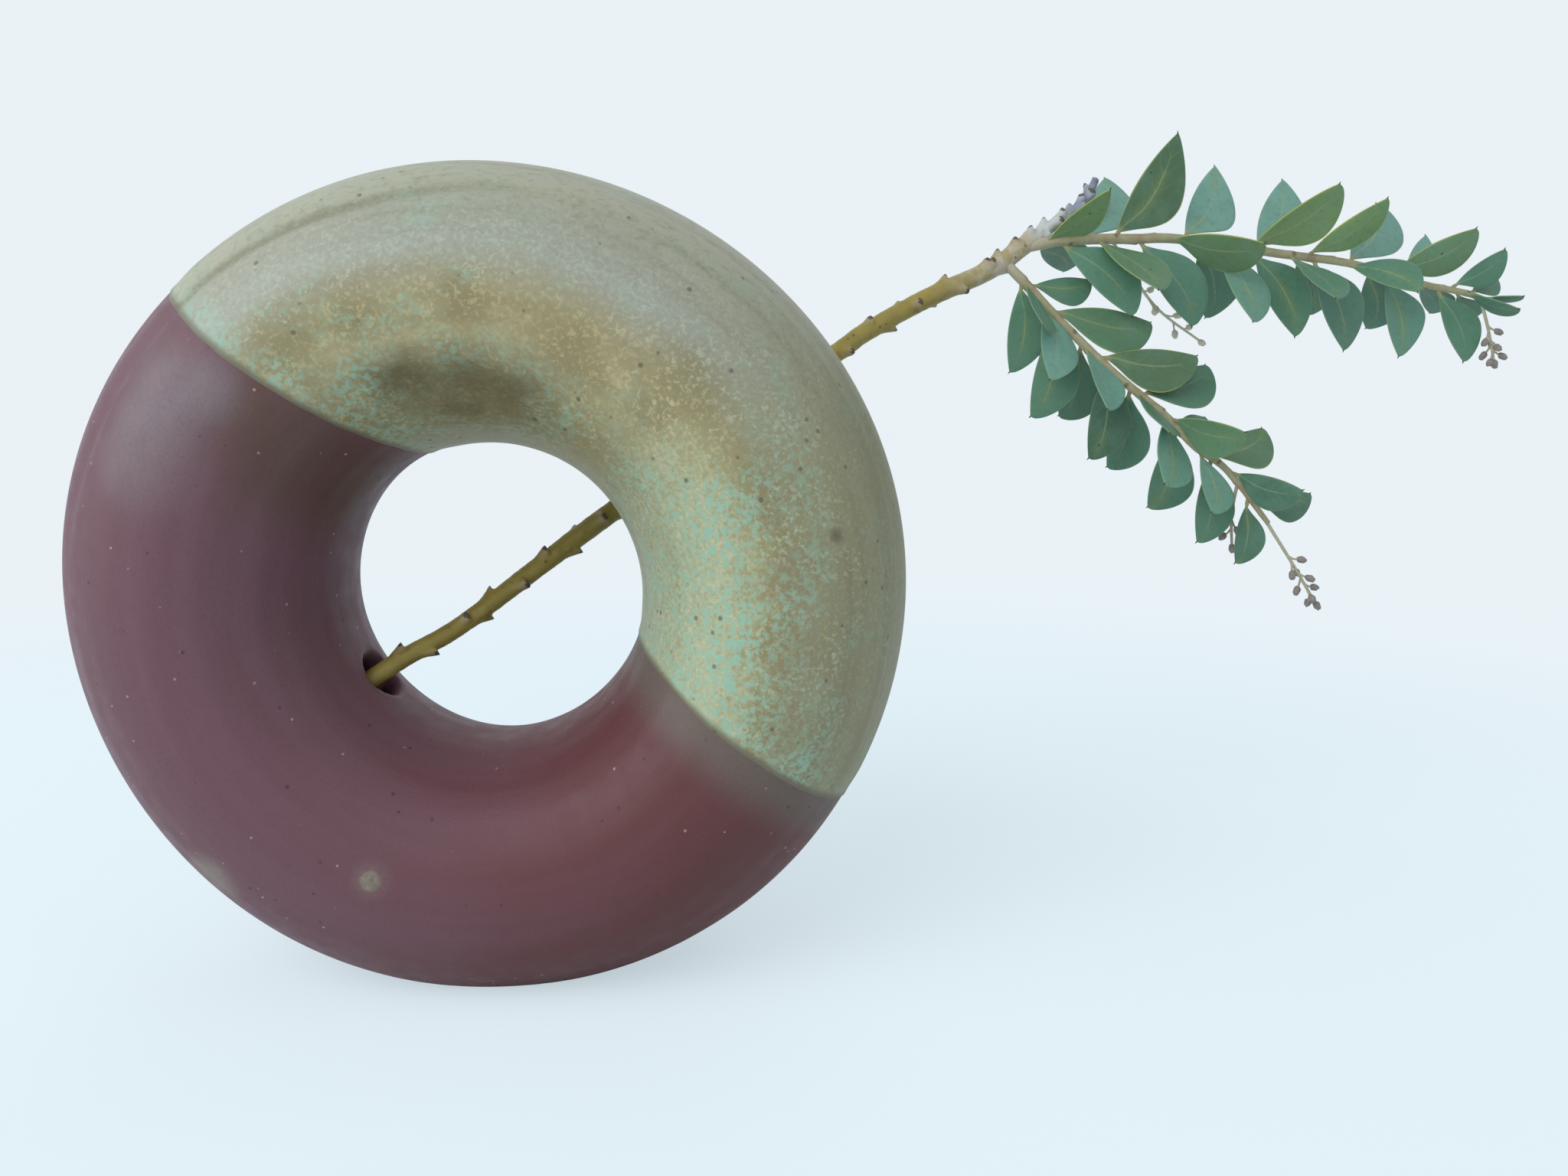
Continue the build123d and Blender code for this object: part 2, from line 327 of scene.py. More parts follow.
def build_glaze(material):
    """The glaze: a closed skin whose two ends follow the dip line with a rounded bead."""
    share = np.linspace(-1, 1, GLAZE_STEPS)
    share = np.sign(share) * (1 - (1 - np.abs(share)) ** 1.25)
    share, tube = (values.ravel() for values in np.meshgrid(share, TUBE_ANGLES, indexing="ij"))
    reach = RING_RADIUS + TUBE_RADIAL * np.cos(tube)
    wobble = 0.22 * np.sin(3 * tube + 1) + 0.1 * np.sin(7 * tube + 2.2) + 0.04 * np.sin(23 * tube)
    inner_rise = 2.2 * smoothstep(-100 * DEGREE, -170 * DEGREE, -np.abs(tube)) * (share > 0)
    edge = GLAZE_OFFSET + (wobble * np.where(share > 0, 1, -0.7) + inner_rise) * MM
    half = np.arccos(edge / reach)
    ring = GLAZE_TILT + share * half
    to_edge = (1 - np.abs(share)) * half * reach
    body = smoothstep(0, 1.0 * MM, to_edge) * (0.45 + 0.55 * smoothstep(0, 7 * MM, to_edge))
    bead = np.exp(-((to_edge - BEAD_PLACE) / BEAD_WIDTH) ** 2)
    thickness = GLAZE_SINK + (GLAZE_THICKNESS - GLAZE_SINK) * body + GLAZE_BEAD * bead
    lift = hand_lift(ring, tube)
    outside = ring_points(ring, tube, lift + thickness)
    inside = ring_points(ring, tube, lift + GLAZE_SINK - GLAZE_UNDER)
    total = len(outside)
    first_row = np.arange(TUBE_STEPS)
    last_row = first_row + (GLAZE_STEPS - 1) * TUBE_STEPS
    ends = []
    for row in (first_row, last_row):
        turned = np.roll(row, -1)
        ends.append(np.stack([row, turned, turned + total, row + total], -1))
    skins = [grid_faces(GLAZE_STEPS, TUBE_STEPS, first) for first in (0, total)]
    faces = np.concatenate(skins + ends)
    points = np.concatenate([outside, inside])
    values = ring_values(np.tile(ring, 2), np.tile(tube, 2))
    values["line"] = np.tile(to_edge, 2)
    make_piece("glaze_skin", points, faces, material, "vase", ["glaze_coat"], values)


# Stem, shoots and buds

def smooth_curve(knots, steps):
    """A smooth curve through knots, with a number of steps from each knot to the next."""
    padded = np.vstack([2 * knots[0] - knots[1], knots, 2 * knots[-1] - knots[-2]])
    share = np.linspace(0, 1, steps, endpoint=False)[:, None]
    dense = []
    for before, start, end, after in zip(padded, padded[1:], padded[2:], padded[3:]):
        dense.append(0.5 * (2 * start + (end - before) * share
                            + (2 * before - 5 * start + 4 * end - after) * share ** 2
                            + (3 * start - before - 3 * end + after) * share ** 3))
    return np.vstack(dense + [knots[-1:]])


def smooth_route(route, step):
    """Evenly spaced points, radii and directions along a smooth curve through a route."""
    dense = smooth_curve(np.array(route, float) * MM, 40)
    lengths = np.concatenate([[0], np.cumsum(np.linalg.norm(np.diff(dense[:, :3], axis=0), axis=1))])
    places = np.linspace(0, lengths[-1], max(int(lengths[-1] / step), 4))
    even = np.stack([np.interp(places, lengths, dense[:, axis]) for axis in range(dense.shape[1])], -1)
    direction = np.gradient(even[:, :3], axis=0)
    direction /= np.linalg.norm(direction, axis=1)[:, None]
    return even[:, :3], even[:, 3], direction, places


def across_frame(direction):
    """Unit vectors to the upper side and to the front side of each direction."""
    upper = np.array([0, 0, 1.0]) - direction * direction[:, 2:]
    upper /= np.linalg.norm(upper, axis=1)[:, None]
    return upper, np.cross(direction, upper)


def round_stem(name, route, material, step, segments, scars, scar_height, roughness):
    """A round stem along a route, with raised leaf scars and an uneven bark."""
    centre, radius, direction, places = smooth_route(route, step)
    upper, front = across_frame(direction)
    turn = np.linspace(0, 2 * math.pi, segments, endpoint=False)
    place = np.repeat(places, segments)
    angle = np.tile(turn, len(places))
    size = np.repeat(radius, segments)
    scar, flank, lift = np.zeros((3, len(place)))
    for scar_place, scar_angle in scars:
        before = (place - scar_place) / MM
        beside = ((angle - scar_angle + math.pi) % (2 * math.pi) - math.pi) * size / MM
        rise = np.clip(1 + before / 3.2, 0, 1) ** 1.7 * (1 - smoothstep(0.1, 0.9, before))
        width = 0.9 + 0.15 * rise
        ridge = np.exp(-np.abs(beside / width) ** 3)
        lift = np.maximum(lift, scar_height * rise * ridge)
        spot = np.exp(-((before - 0.05) / 0.62) ** 2 - (beside / 0.66) ** 2)
        scar = np.maximum(scar, smoothstep(0.3, 0.6, spot))
        below = np.clip(1 + before / 2.8, 0, 1) * (1 - smoothstep(0.3, 0.9, before))
        flank = np.maximum(flank, below * np.exp(-(beside / 0.95) ** 2))
    lean = lift ** 2 / scar_height
    ripple = np.sin(place * 1400 + 3 * np.sin(angle)) * np.sin(2 * angle + place * 700)
    bark = roughness * (ripple + random_numbers.normal(0, 0.6, len(place)))
    outward = np.repeat(upper, segments, 0) * np.cos(angle)[:, None]
    outward += np.repeat(front, segments, 0) * np.sin(angle)[:, None]
    points = np.repeat(centre, segments, 0) + outward * (size + lift + bark)[:, None]
    points += np.repeat(direction, segments, 0) * (lean * 0.55)[:, None]
    count = len(places)
    faces = [tuple(face) for face in grid_faces(count, segments)]
    caps = np.stack([centre[0], centre[-1] + direction[-1] * radius[-1] * 0.4])
    first_cap = len(points)
    for index in range(segments):
        after = (index + 1) % segments
        faces.append((first_cap, after, index))
        faces.append((first_cap + 1, (count - 1) * segments + index, (count - 1) * segments + after))
    points = np.vstack([points, caps])
    values = {
        "scar": np.append(scar, [0, 0]),
        "flank": np.append(flank, [0, 0]),
        "along": np.append(place, [0, places[-1]]) / places[-1],
    }
    make_piece(name + "_bark", points, faces, material, "sprig", [name], values)


def spiral_scars(route, first, spacing, jitter):
    """Places and angles of leaf scars that spiral along a route."""
    length = smooth_route(route, MM)[3][-1]
    count = int((length - 2 * MM - first) / spacing) + 1
    return [(first + index * spacing + jitter * math.sin(2.3 * index) * MM, index * SCAR_TURN)
            for index in range(count)]


def bud_head(centre, stretch):
    """Points and faces of a small knobbly ball stretched along a direction."""
    points = []
    side = stretch.orthogonal().normalized()
    other = stretch.cross(side)
    for row, angle in enumerate(np.linspace(0, math.pi, BUD_RINGS)):
        for column in range(BUD_SEGMENTS):
            turn = 2 * math.pi * column / BUD_SEGMENTS
            knob = 1 + BUD_KNOBS * math.sin(3 * turn + row) * math.sin(2.5 * angle)
            if row in (0, BUD_RINGS - 1):
                knob = 1
            outward = stretch * math.cos(angle) * BUD_STRETCH + turned(side, other, turn) * math.sin(angle)
            points.append(centre + outward * BUD_RADIUS * knob)
    return [tuple(point) for point in points], grid_faces(BUD_RINGS, BUD_SEGMENTS)


def bud_spray(node, stalk, count, material):
    """A thin stalk with knobbly flower buds on short branches that turn round it."""
    route = [point + (STALK_RADIUS,) for point in stalk]
    centre, radius, direction, places = smooth_route(route, 0.5 * MM)
    upper, front = across_frame(direction)
    points, faces, bud = [], [], []

    def add(new_points, new_faces, value):
        first = len(points)
        points.extend(new_points)
        faces.extend(tuple(corner + first for corner in face) for face in new_faces)
        bud.extend([value] * len(new_points))

    def tube(line, sizes, segments=10):
        line = np.asarray(line)
        ahead = np.gradient(line, axis=0)
        ahead /= np.linalg.norm(ahead, axis=1)[:, None]
        up, side = across_frame(ahead)
        turn = np.linspace(0, 2 * math.pi, segments, endpoint=False)
        circle = up[:, None] * np.cos(turn)[None, :, None] + side[:, None] * np.sin(turn)[None, :, None]
        skin = (line[:, None] + circle * np.asarray(sizes)[:, None, None]).reshape(-1, 3)
        add([tuple(point) for point in skin], closed_tube(len(line), segments), 0.0)

    tube(centre, radius * np.linspace(1.0, 0.75, len(centre)))
    ends = [(Vector(centre[-1]), Vector(direction[-1]))]
    for index in range(count - 1):
        share = FIRST_BUD + (1 - FIRST_BUD) * index / count
        station = int(share * (len(places) - 1))
        turn = index * SCAR_TURN
        outward = turned(Vector(upper[station]), Vector(front[station]), turn)
        reach = (outward + Vector(direction[station])).normalized()
        start = Vector(centre[station])
        line = [start + reach * BUD_BRANCH * step - Vector((0, 0, BUD_SAG)) * math.sin(math.pi * step)
                for step in (0, 0.35, 0.7, 1)]
        tube(line, np.array(BRANCH_RADII) * MM, 8)
        ends.append((start + reach * BUD_BRANCH, reach))
    for end, reach in ends:
        add(*bud_head(end, reach), 1.0)
    values = {"bud": bud, "painted_light": [float(node == PAINTED_LIGHT_SPRAY)] * len(points)}
    make_piece(node + "_heads", points, faces, material, "sprig", [node], values)


# Leaves

# Distance along the shoot, turn round it from its upper side towards the front, lean, length, any twist
UPPER_LEAVES = [
    (6, 50, 45, 19), (16, -45, 64, 26), (10, 165, 58, 24), (5, -110, 60, 22), (19, 130, 72, 23),
    (23, 5, 59, 27), (29, 175, 57, 24), (36, 100, 48, 23, -60), (40, -30, 68, 26), (44, -135, 63, 24),
    (48, 147, 72, 22), (57, 178, 54, 23), (58, -36, 68, 26), (56, 33, 53, 23), (66, 125, 75, 20),
    (68, -128, 56, 22), (72, 177, 62, 23), (70, 45, 60, 21), (80, 115, 55, 19, 40), (81, -36, 64, 25),
    (86, -126, 60, 22), (90, 178, 62, 20), (91, 25, 50, 20), (95, -42, 70, 19), (99, -105, 52, 17),
    (103, 178, 56, 19),
]
UPPER_TIP_LEAVES = [
    (106, 5, 50, 15), (108, -115, 52, 14), (109, 106, 52, 14, -40), (111, -40, 58, 13), (114, 70, 48, 9),
]
LOWER_LEAVES = [
    (6, 175, 50, 21), (7, 103, 55, 19), (8, -40, 62, 17), (11, -122, 68, 21), (14, 124, 46, 21),
    (16, -48, 53, 26), (18, 172, 57, 23), (26, -138, 70, 22), (27, 118, 46, 20), (31, -22, 48, 23),
    (34, 177, 56, 21), (41, -148, 68, 22), (42, 102, 49, 18), (44, -50, 74, 24), (51, 125, 60, 21),
    (52, 47, 47, 19, -20), (54, -68, 78, 18), (55, -148, 65, 22), (62, 124, 58, 18), (65, 177, 60, 19),
    (65, -53, 75, 22),
]
LOWER_TIP_LEAVES = [(70, 40, 47, 17, -20), (73, -75, 72, 17), (77, 180, 46, 15), (77, -45, 62, 17)]

LEAF_NECK = 2.2 * MM
LEAF_HALF_NECK = 0.45 * MM
LEAF_BULGE = 0.075
LEAF_HALF_THICKNESS = 0.19 * MM
LEAF_ROWS = 34
STRAIGHT_COLUMNS = 6
ROUNDED_COLUMNS = 9
MIDRIB_SHARE = 0.4
MIDRIB_HEIGHT = 0.1 * MM
MIDRIB_WIDTH = 0.3 * MM
# Most that a leaf bends, cups and rolls
LEAF_UNEVEN = np.array([0.05, 0.55, 0.15])
# The small dark point at a leaf's tip: distance along it and radius, in millimetres
POINT_STEPS = [(0, 0.19), (0.4, 0.14), (0.8, 0.03)]
POINT_SEGMENTS = 8


def by_leaf(upper, lower):
    """A table by node name, from the leaves' numbers along the upper and the lower shoot."""
    table = {f"upper_leaf_{number:02d}": value for number, value in upper.items()}
    table.update({f"lower_leaf_{number:02d}": value for number, value in lower.items()})
    return table


# Rounded margin of a blunt and of an acute blade of unit length, from the tip to the neck
BLUNT_MARGIN = [
    (1.0, 0.0), (1.01, 0.08), (0.965, 0.19), (0.87, 0.305), (0.73, 0.395), (0.56, 0.425), (0.38, 0.37),
    (0.23, 0.255), (0.1, 0.115), (0.0, 0.025),
]
ACUTE_MARGIN = [
    (1.0, 0.0), (0.965, 0.055), (0.885, 0.145), (0.77, 0.25), (0.63, 0.345), (0.47, 0.4), (0.32, 0.375),
    (0.2, 0.28), (0.09, 0.135), (0.0, 0.025),
]
ACUTE_LEAVES = by_leaf(
    {1: 1.0, 2: 0.7, 6: 1.0, 7: 0.1, 9: 1.0, 12: 0.4, 13: 0.9, 17: 0.5, 18: 0.6, 20: 0.5, 22: 0.5,
     23: 0.2, 24: 0.9},
    {1: 0.5, 5: 0.5, 9: 0.5},
)
USUAL_ACUTE = 0.2


def leaf_directions(route, distance, turn, lean, twist=0):
    """Base point, direction to the tip, direction to the rounded margin and normal of a leaf."""
    left = distance * MM
    knots = np.array(route)[:, :3] * MM
    for start, end in zip(knots, knots[1:]):
        stretch = np.linalg.norm(end - start)
        if left <= stretch:
            break
        left -= stretch
    direction = (end - start) / stretch
    base = start + direction * left
    upper, front = across_frame(direction[None])
    outward = turned(upper[0], front[0], turn * DEGREE)
    tipward = turned(direction, outward, lean * DEGREE)
    rounded = direction - tipward * (direction @ tipward)
    rounded /= np.linalg.norm(rounded)
    normal = turned(np.cross(tipward, rounded), -rounded, twist * DEGREE)
    return base, tipward, np.cross(normal, tipward), normal


def leaf_margins(acute):
    """Stations along a blade of unit length, with its straight and its rounded margin there."""
    outline = smooth_curve(np.array(BLUNT_MARGIN) * (1 - acute) + np.array(ACUTE_MARGIN) * acute, 24)
    farthest = outline[:, 0].argmax()
    share = 0.5 - 0.5 * np.cos(np.linspace(0, math.pi, LEAF_ROWS))
    place = share * outline[farthest, 0] * 0.9995
    rounded_end = outline[:farthest + 1]
    rounded_side = outline[farthest:][::-1]
    high = np.interp(place, rounded_side[:, 0], rounded_side[:, 1])
    low = -4 * LEAF_BULGE * place * (1 - place) - 0.022 * (1 - place)
    low = np.where(place > 1, np.interp(place, rounded_end[:, 0], rounded_end[:, 1]), low)
    return place, np.minimum(low, high - 0.002), high


def leaf_blade(directions, length, acute, bend, cup, roll):
    """Points, faces and values of one closed blade with a neck, a midrib and a small dark point."""
    base, tipward, side, normal = directions
    blade = length * MM - LEAF_NECK
    stations = [(start, -LEAF_HALF_NECK, LEAF_HALF_NECK) for start in (0.0, LEAF_NECK * 0.6)]
    for place, low, high in zip(*leaf_margins(acute)):
        stations.append((LEAF_NECK + place * blade, low * blade, high * blade))
    straight = MIDRIB_SHARE * np.sin(np.linspace(0, math.pi / 2, STRAIGHT_COLUMNS))
    straight = MIDRIB_SHARE - straight[::-1]
    rounded = MIDRIB_SHARE + (1 - MIDRIB_SHARE) * np.sin(np.linspace(0, math.pi / 2, ROUNDED_COLUMNS))
    across = np.concatenate([straight, rounded[1:]])
    points = []
    values = {"leaf_x": [], "leaf_y": [], "margin": [], "point": []}

    def bent(place, y):
        share = np.clip((place - LEAF_NECK) / blade, 0, 1.1)
        fold = cup * (y / blade - 0.12) ** 2 * np.sin(math.pi * np.minimum(share, 1) ** 0.8)
        ripple = 0.06 * MM * np.sin(9 * share + 350 * y + 20 * bend)
        return (bend * share ** 2 + fold + roll * share * (y / blade - 0.12)) * blade + ripple

    for place, low, high in stations:
        share = (place - LEAF_NECK) / blade
        y = low + (high - low) * across
        from_rib = y - (low + (high - low) * MIDRIB_SHARE)
        from_middle = np.abs(2 * across - 1)
        thick = LEAF_HALF_THICKNESS * (0.35 + 0.65 * np.sqrt(1 - from_middle ** 8))
        rib = MIDRIB_HEIGHT * np.exp(-(from_rib / MIDRIB_WIDTH) ** 2) * min(max(1.3 - 1.4 * share, 0), 1)
        for sign, order in ((1, slice(None)), (-1, slice(None, None, -1))):
            height = (bent(place, y) + sign * (thick + rib))[order]
            points.extend(base + tipward * place + np.outer(y[order], side) + np.outer(height, normal))
            values["leaf_x"].extend([share] * len(y))
            values["leaf_y"].extend(from_rib[order] / blade)
            values["margin"].extend(from_middle[order])
            values["point"].extend([0.0] * len(y))
    faces = closed_tube(len(stations), 2 * len(across))
    faces += closed_tube(len(POINT_STEPS), POINT_SEGMENTS, len(points))
    tip = length * MM
    point_direction = tipward * 0.85 - side * 0.5
    foot = base + tipward * (tip - 0.3 * MM) + side * 0.1 * MM + normal * bent(tip, 0.0)
    for step, radius in POINT_STEPS:
        for turn in np.linspace(0, 2 * math.pi, POINT_SEGMENTS, endpoint=False):
            across_point = turned(np.cross(point_direction, normal), normal, turn)
            points.append(foot + (point_direction * step + across_point * radius) * MM)
    for key, value in (("leaf_x", 1.0), ("leaf_y", 0.2), ("margin", 0.0), ("point", 1.0)):
        values[key].extend([value] * len(POINT_STEPS) * POINT_SEGMENTS)
    return points, faces, values


# How dark or pale some leaves are, partly their own tone and partly painted light and shade, such as leaf
# 18 on the upper shoot lifted out of the shade it sits in, then how olive and how pale blue some are, from
# 0 to 1
LEAF_SHADES = by_leaf(
    {1: 1.35, 6: 0.7, 14: 1.2, 17: 0.75, 18: 1.45, 20: 0.85},
    {10: 0.68, 11: 0.65, 16: 1.15, 21: 0.88},
)
LEAF_SHADES["lower_tip_leaves"] = 0.72
USUAL_OLIVE = 0.12
USUAL_BLUE = 0.08
OLIVE_LEAVES = by_leaf(
    {1: 1.0, 5: 0.5, 6: 0.55, 8: 0.75, 14: 1.0, 18: 1.0, 23: 0.7},
    {6: 0.4, 10: 0.6, 16: 0.5, 21: 0.5},
)
BLUE_LEAVES = by_leaf(
    {2: 1.0, 7: 0.3, 9: 1.0, 11: 0.5, 13: 1.0, 17: 0.35, 20: 0.95, 22: 0.45, 24: 1.0},
    {5: 0.8, 9: 0.8, 15: 0.6, 19: 0.5},
)


def build_leaves(node, route, rows, material):
    points, faces, values = [], [], {}
    for distance, turn, lean, length, *twist in rows:
        bend, cup, roll = random_numbers.uniform(-LEAF_UNEVEN, LEAF_UNEVEN)
        directions = leaf_directions(route, distance, turn, lean, *twist)
        acute = ACUTE_LEAVES.get(node, USUAL_ACUTE)
        blade_points, blade_faces, blade_values = leaf_blade(directions, length, acute, bend, cup, roll)
        first = len(points)
        points.extend(blade_points)
        faces.extend(tuple(corner + first for corner in face) for face in blade_faces)
        for key, data in blade_values.items():
            values.setdefault(key, []).extend(data)
    values["olive"] = [OLIVE_LEAVES.get(node, USUAL_OLIVE)] * len(points)
    values["blue"] = [BLUE_LEAVES.get(node, USUAL_BLUE)] * len(points)
    values["shade"] = [LEAF_SHADES.get(node, 1.0)] * len(points)
    values["tone"] = [random_numbers.uniform(0, 1)] * len(points)
    make_piece(node + "_blade", points, faces, material, "sprig", [node], values)


# Materials

def connect(socket, value):
    """Links a socket to another, or gives it a number, a vector or a colour."""
    if isinstance(value, bpy.types.NodeSocket):
        socket.id_data.links.new(value, socket)
    elif socket.type == "RGBA":
        socket.default_value = (*value, 1.0)
    else:
        socket.default_value = value


def add_node(tree, kind, inputs=None, **settings):
    node = tree.nodes.new("ShaderNode" + kind)
    for key, value in settings.items():
        setattr(node, key, value)
    for key, value in (inputs or {}).items():
        connect(node.inputs[key], value)
    return node


def calculate(operation, first, second=0.0, clamp=False):
    """A sum in one step; at least one of its values comes from a node."""
    tree = (first if isinstance(first, bpy.types.NodeSocket) else second).id_data
    inputs = {0: first, 1: second}
    return add_node(tree, "Math", inputs, operation=operation, use_clamp=clamp).outputs[0]


def times(*values):
    return reduce(partial(calculate, "MULTIPLY"), values)


def vector_math(operation, vector, inputs, result=0):
    node = add_node(vector.id_data, "VectorMath", {0: vector, **inputs}, operation=operation)
    return node.outputs[result]


SLANT = (1.0, 0.6, -1.0)


def shifted(vector, offset):
    """A place moved along one slanting line by an offset, which may change from place to place."""
    if not isinstance(offset, bpy.types.NodeSocket):
        return vector_math("ADD", vector, {1: tuple(offset * share for share in SLANT)})
    return vector_math("ADD", vector, {1: combine(*(times(offset, share) for share in SLANT))})


def combine(x, y, z):
    return add_node(x.id_data, "CombineXYZ", {0: x, 1: y, 2: z}).outputs[0]


def span(value, low, high, to_low=0.0, to_high=1.0):
    """A value mapped smoothly from one span to another, and held at its ends."""
    inputs = dict(enumerate((value, low, high, to_low, to_high)))
    node = add_node(value.id_data, "MapRange", inputs, interpolation_type="SMOOTHSTEP")
    return node.outputs["Result"]


def noise(vector, scale, detail=3.0, roughness=0.55, distortion=0.0):
    inputs = {"Vector": vector, "Scale": scale, "Detail": detail, "Roughness": roughness}
    inputs["Distortion"] = distortion
    return add_node(vector.id_data, "TexNoise", inputs).outputs["Fac"]


def spots(vector, scale):
    inputs = {"Vector": vector, "Scale": scale}
    return add_node(vector.id_data, "TexVoronoi", inputs).outputs["Distance"]


def specks(vector, scale, size, patches, patch_span):
    """Small round specks that gather in patches."""
    small, large = size
    dots = span(spots(vector, scale), large, small)
    return times(dots, span(noise(vector, patches, 1), *patch_span))


def mix(share, first, second):
    inputs = {0: share, 6: first, 7: second}
    return add_node(share.id_data, "Mix", inputs, data_type="RGBA").outputs[2]


def ramp(value, stops):
    node = add_node(value.id_data, "ValToRGB", {"Fac": value})
    stop_list = node.color_ramp.elements
    while len(stop_list) < len(stops):
        stop_list.new(0.5)
    for element, (position, colour) in zip(stop_list, stops):
        element.position = position
        element.color = (*colour, 1.0)
    return node.outputs["Color"]


def bump(height, distance, strength, before=None):
    inputs = {"Height": height, "Distance": distance, "Strength": strength}
    if before is not None:
        inputs["Normal"] = before
    return add_node(height.id_data, "Bump", inputs).outputs["Normal"]


class Look:
    """The nodes of one material or of the sky, with the colour so far."""

    def __init__(self, name, holders=None):
        self.holder = (bpy.data.materials if holders is None else holders).new(name)
        self.holder.use_nodes = True
        self.tree = self.holder.node_tree
        self.shader = self.tree.nodes.get("Principled BSDF")
        self.colour = None

    def place(self):
        return add_node(self.tree, "TexCoord").outputs["Object"]

    def value(self, name):
        return add_node(self.tree, "Attribute", attribute_name=name).outputs["Fac"]

    def streaks(self, fineness, stretch):
        """Noise in long streaks that follow the ring round, from values without a seam."""
        across, deep = (times(self.value(name), fineness) for name in ("across", "deep"))
        sideways, upright = (times(self.value(name), stretch) for name in ("sideways", "upright"))
        inputs = {"Vector": combine(across, deep, sideways), "W": upright, "Scale": 1.0, "Detail": 3.0}
        return add_node(self.tree, "TexNoise", inputs, noise_dimensions="4D").outputs["Fac"]

    def paint(self, share, colour, strength=None):
        """Lays a new colour over the colour so far."""
        if strength is not None:
            share = times(share, strength)
        self.colour = mix(share, self.colour, colour)

    def finish(self, roughness, normal=None, specular=0.5):
        inputs = {"Base Color": self.colour, "Roughness": roughness, "Specular IOR Level": specular}
        if normal is not None:
            inputs["Normal"] = normal
        for key, value in inputs.items():
            connect(self.shader.inputs[key], value)
        return self.holder


# Places under the dip line, each with its radius, painted a paler lavender-grey: a painted sheen, the
# reflection of the bluish light from the left
PAINTED_SHEEN_PLACES = [(-45, -27, 106, 13), (-49, -27.5, 97, 13), (-37.5, -28.2, 107, 8)]
# Browner places on the clay, each with its radius
BROWN_CLAY = [(-27, -22, 98, 20), (-31, -26, 103, 13), (-23, -12, 92, 17)]
PALE_PATCH = (-45.8, -22.7, 24.5)
GLAZE_SPOT = (61.2, -24.9, 82.9)

# Places on the glaze, each with its radius: turquoise pools, then thin brown patches, then dark patches
# that are mainly painted shade where the inner top faces down at the finger dents, partly darker glaze
TURQUOISE_POOLS = [
    (-40, -25.7, 117, 6), (-36, -27.6, 113.7, 5), (-27, -27.4, 107.6, 7), (-14, -25.1, 108.8, 6),
    (0, -25.7, 112.3, 5), (31, -17.6, 61, 6), (35, -23.2, 57.5, 5), (45.7, -28.2, 49.4, 7),
    (54.3, -25.7, 43, 5), (43, -27.4, 85, 13), (48, -28.1, 68, 12), (46.5, -28, 54, 9),
]
BROWN_PATCHES = [
    (-25, -28.1, 114, 8), (-14, -28.1, 118, 7), (3, -28.1, 120.4, 6), (19, -28, 112.5, 8),
    (32, -27.8, 103.5, 8), (38, -28.1, 107, 9), (50.5, -28.1, 89, 9), (53, -28.1, 77, 9),
    (53, -28.1, 65, 10), (52, -27.5, 53, 8),
]
PAINTED_SHADE_PATCHES = [(-7, -23.3, 108, 10), (1, -21.5, 106.8, 13), (9, -21.3, 105.8, 11)]


def near_place(place, centre, radius, core=0.2):
    """A share that is 1 at a place on the object and falls to 0 at a radius in millimetres."""
    away = vector_math("DISTANCE", place, {1: tuple(number * MM for number in centre)}, "Value")
    return span(away, radius * MM, core * radius * MM)


def near_any(place, places):
    """The largest of several near_place shares."""
    shares = [near_place(place, centre, radius) for *centre, radius in places]
    return reduce(partial(calculate, "MAXIMUM"), shares)


def clay_material():
    look = Look("red_brown_clay")
    place = look.place()
    sideways = look.value("sideways")
    broad = noise(place, 24, 2, 0.5)
    rings = look.streaks(3.0, 0.5)
    # Redder towards the right and purpler towards the left, with random tone; the purple on the left is
    # partly a painted reflection of the bluish light from the left, partly the clay's own tone
    red = calculate("ADD", times(sideways, 0.3), calculate("ADD", times(broad, 0.5), times(rings, 0.5)))
    look.colour = mix(span(red, 0.25, 0.8), (0.138, 0.064, 0.086), (0.106, 0.032, 0.033))
    look.paint(span(look.streaks(5.0, 0.6), 0.42, 0.66), (0.092, 0.033, 0.033), 0.22)
    brown = times(near_any(place, BROWN_CLAY), span(broad, 0.3, 0.6, 0.7, 0.9))
    look.paint(brown, (0.092, 0.05, 0.035))
    fume = times(span(look.value("line"), -0.01, -0.001), span(sideways, -0.2, 0.5))
    look.paint(fume, (0.13, 0.115, 0.096), 0.75)
    # Painted sheen: a lavender-grey reflection painted into the clay's colour
    for *centre, radius in PAINTED_SHEEN_PLACES:
        painted_sheen = times(near_place(place, centre, radius, 0.1), span(broad, 0.3, 0.55, 0.38, 0.62))
        look.paint(painted_sheen, (0.188, 0.16, 0.176))
    look.paint(near_place(place, KILN_SPOT, 4.5), (0.21, 0.175, 0.155), 0.32)
    mottle = noise(place, 1100, 2, 0.6)
    core = near_place(place, KILN_SPOT, 2.0, 0.7)
    look.paint(core, mix(mottle, (0.085, 0.07, 0.055), (0.29, 0.255, 0.205)))
    look.paint(near_place(place, PALE_PATCH, 7.0), (0.25, 0.24, 0.2), 0.5)
    grain = noise(place, 1500, 3, 0.7)
    look.paint(span(grain, 0.35, 0.8), (0.065, 0.028, 0.03), 0.22)
    pale = specks(place, 270, (0.05, 0.085), 170, (0.44, 0.51))
    look.paint(pale, (0.42, 0.3, 0.28), 0.65)
    other = shifted(place, 0.27)
    dark = specks(other, 230, (0.055, 0.1), 110, (0.44, 0.52))
    look.paint(dark, (0.035, 0.02, 0.022), 0.75)
    roughness = span(noise(place, 260, 3), 0.3, 0.7, 0.43, 0.54)
    normal = bump(grain, 0.00008, 0.6)
    normal = bump(look.streaks(26.0, 3.0), 0.0001, 0.5, normal)
    return look.finish(roughness, normal, specular=0.38)


